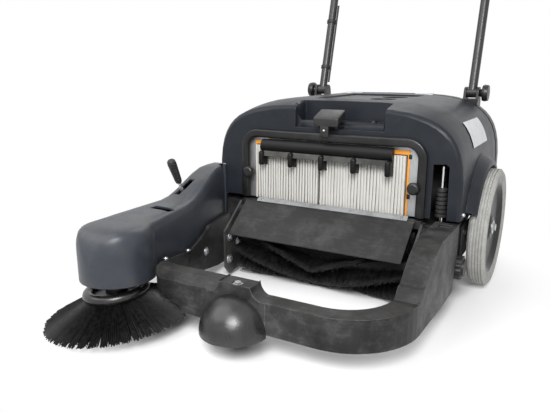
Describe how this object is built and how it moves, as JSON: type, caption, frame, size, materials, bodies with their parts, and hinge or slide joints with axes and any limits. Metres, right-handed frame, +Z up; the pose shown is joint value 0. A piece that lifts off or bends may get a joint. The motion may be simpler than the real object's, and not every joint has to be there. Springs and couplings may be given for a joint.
{
  "type": "walk-behind power brush sweeper",
  "caption": "Walk-behind sweeper chassis with its hopper off: crowned hood, pleated filter, roller brush, tilted side broom, front caster frame, rear wheels and push handle.",
  "frame": {"origin": "on the floor under the middle of the rear axle", "axes": "+Z up; -Y the machine's front, where the hopper goes in; +X the right side seen from the front"},
  "size_m": [0.8318, 1.1857, 0.8904],
  "materials": {
    "cover_plastic": "moulded blue-grey, fine grain",
    "frame_plastic": "moulded black-grey, dusty",
    "black_steel": "black powder coat",
    "bright_steel": "zinc plated",
    "pressed_steel": "grey, pressed and plated",
    "black_plastic": "smooth black moulding",
    "black_rubber": "matt black",
    "caster_rubber": "dark grey tread",
    "grey_tyre": "light grey non-marking rubber",
    "bristle": "black bristle",
    "filter_orange": "orange moulded frame",
    "filter_paper": "pleated off-white paper"
  },
  "bodies": {
    "chassis": {"front_frame": "frame_plastic", "caster_cover": "frame_plastic", "caster_bolt": "bright_steel", "deck": "black_steel", "cross_bar": "black_steel", "broom_plate_left": "bright_steel", "broom_plate_right": "bright_steel", "flap_strip": "bright_steel", "side_cover": "cover_plastic", "arm_bracket": "black_steel", "lever_bracket": "black_steel", "rear_axle": "bright_steel", "hub_bolts": "bright_steel", "rear_housing": "cover_plastic", "rear_hinge": "bright_steel", "batteries": "black_plastic", "fan_housing": "black_plastic", "drive_motor": "pressed_steel", "drive_belt": "black_rubber", "lift_rod": "bright_steel", "lift_boot": "black_rubber", "handle_brackets": "black_plastic"},
    "wheel_left": {"left_tyre": "grey_tyre", "left_rim": "black_plastic"},
    "wheel_right": {"right_tyre": "grey_tyre", "right_rim": "black_plastic"},
    "caster": {"caster_fork": "pressed_steel"},
    "caster_roller": {"caster_wheel": "caster_rubber"},
    "main_broom": {"main_bristles": "bristle", "broom_core": "black_plastic", "broom_pulley": "bright_steel"},
    "motor_shaft": {"motor_pulley": "bright_steel"},
    "side_arm_body": {"side_arm": "black_steel", "side_motor": "black_plastic"},
    "side_broom": {"side_hub": "black_plastic", "side_bristles": "bristle"},
    "lift_lever": {"side_lever": "bright_steel", "lever_grip": "black_rubber"},
    "hood_body": {"hood": "cover_plastic", "wheel_arches": "cover_plastic", "hood_hinge": "bright_steel", "filter_seal": "black_rubber", "filter_plate": "bright_steel", "filter_frame": "filter_orange", "filter_pleats": "filter_paper", "shaker_bar": "black_plastic", "shaker_motor": "pressed_steel", "latch_bracket": "black_steel"},
    "latch": {"latch_paddle": "black_plastic"},
    "knob_left": {"filter_knob_left": "black_plastic"},
    "knob_right": {"filter_knob_right": "black_plastic"},
    "front_flap": {"flap": "black_rubber"},
    "handle": {"handle_tube": "black_steel", "handle_grip": "black_rubber", "drive_cable": "black_rubber"},
    "handle_knob_l": {"handle_knob_left": "black_plastic"},
    "handle_knob_r": {"handle_knob_right": "black_plastic"},
    "bail": {"drive_bail": "black_steel"},
    "broom_adjuster": {"adjust_knob": "black_plastic"}
  },
  "joints": [
    {"name": "left_wheel_spin", "type": "hinge", "parent": "chassis", "child": "wheel_left", "pos_m": [-0.354, 0, 0.15], "axis": [1, 0, 0], "continuous": true},
    {"name": "right_wheel_spin", "type": "hinge", "parent": "chassis", "child": "wheel_right", "pos_m": [0.354, 0, 0.15], "axis": [1, 0, 0], "continuous": true},
    {"name": "caster_swivel", "type": "hinge", "parent": "chassis", "child": "caster", "pos_m": [0, -0.629, 0.11], "axis": [0, 0, 1], "continuous": true},
    {"name": "caster_roll", "type": "hinge", "parent": "caster", "child": "caster_roller", "pos_m": [0, -0.611, 0.03], "axis": [1, 0, 0], "continuous": true},
    {"name": "main_broom_spin", "type": "hinge", "parent": "chassis", "child": "main_broom", "pos_m": [0, -0.229, 0.088], "axis": [1, 0, 0], "continuous": true},
    {"name": "motor_spin", "type": "hinge", "parent": "chassis", "child": "motor_shaft", "pos_m": [0.26, -0.088, 0.12], "axis": [1, 0, 0], "continuous": true},
    {"name": "side_lever_swing", "type": "hinge", "parent": "chassis", "child": "lift_lever", "pos_m": [-0.345, -0.339, 0.175], "axis": [-1, 0, 0], "range_deg": [0, 25]},
    {"name": "side_arm_lift", "type": "hinge", "parent": "chassis", "child": "side_arm_body", "pos_m": [-0.3, -0.42, 0.128], "axis": [-1, 0, 0], "range_deg": [0, 5]},
    {"name": "side_broom_spin", "type": "hinge", "parent": "side_arm_body", "child": "side_broom", "pos_m": [-0.297, -0.652, 0], "axis": [-0.0906, -0.0521, 0.9945], "continuous": true},
    {"name": "hood_open", "type": "hinge", "parent": "chassis", "child": "hood_body", "pos_m": [0, 0.216, 0.468], "axis": [-1, 0, 0], "range_deg": [0, 60]},
    {"name": "latch_lift", "type": "hinge", "parent": "hood_body", "child": "latch", "pos_m": [0, -0.226, 0.418], "axis": [-1, 0, 0], "range_deg": [0, 25], "stiffness_Nm_per_rad": 0.15, "springref_deg": -34.38},
    {"name": "filter_knob_left_turn", "type": "hinge", "parent": "hood_body", "child": "knob_left", "pos_m": [-0.222, -0.24, 0.279], "axis": [0, 1, 0], "continuous": true},
    {"name": "filter_knob_right_turn", "type": "hinge", "parent": "hood_body", "child": "knob_right", "pos_m": [0.222, -0.24, 0.279], "axis": [0, 1, 0], "continuous": true},
    {"name": "flap_swing", "type": "hinge", "parent": "chassis", "child": "front_flap", "pos_m": [0, -0.239, 0.1999], "axis": [-1, 0, 0], "range_deg": [0, 35]},
    {"name": "handle_tilt", "type": "hinge", "parent": "chassis", "child": "handle", "pos_m": [0, 0.252, 0.476], "axis": [-1, 0, 0], "range_deg": [-12, 20]},
    {"name": "handle_knob_left_turn", "type": "hinge", "parent": "chassis", "child": "handle_knob_l", "pos_m": [-0.27, 0.252, 0.476], "axis": [1, 0, 0], "continuous": true},
    {"name": "handle_knob_right_turn", "type": "hinge", "parent": "chassis", "child": "handle_knob_r", "pos_m": [0.27, 0.252, 0.476], "axis": [1, 0, 0], "continuous": true},
    {"name": "bail_squeeze", "type": "hinge", "parent": "handle", "child": "bail", "pos_m": [0, 0.33172, 0.77351], "axis": [-1, 0, 0], "range_deg": [0, 14], "stiffness_Nm_per_rad": 0.8, "springref_deg": -34.38},
    {"name": "broom_height_turn", "type": "hinge", "parent": "chassis", "child": "broom_adjuster", "pos_m": [0.316, -0.2, 0.097], "axis": [1, 0, 0], "continuous": true}
  ],
  "couplings": [
    {"joint": "motor_spin", "follows": "main_broom_spin", "ratio": 2.2222},
    {"joint": "side_arm_lift", "follows": "side_lever_swing", "ratio": 0.2}
  ]
}
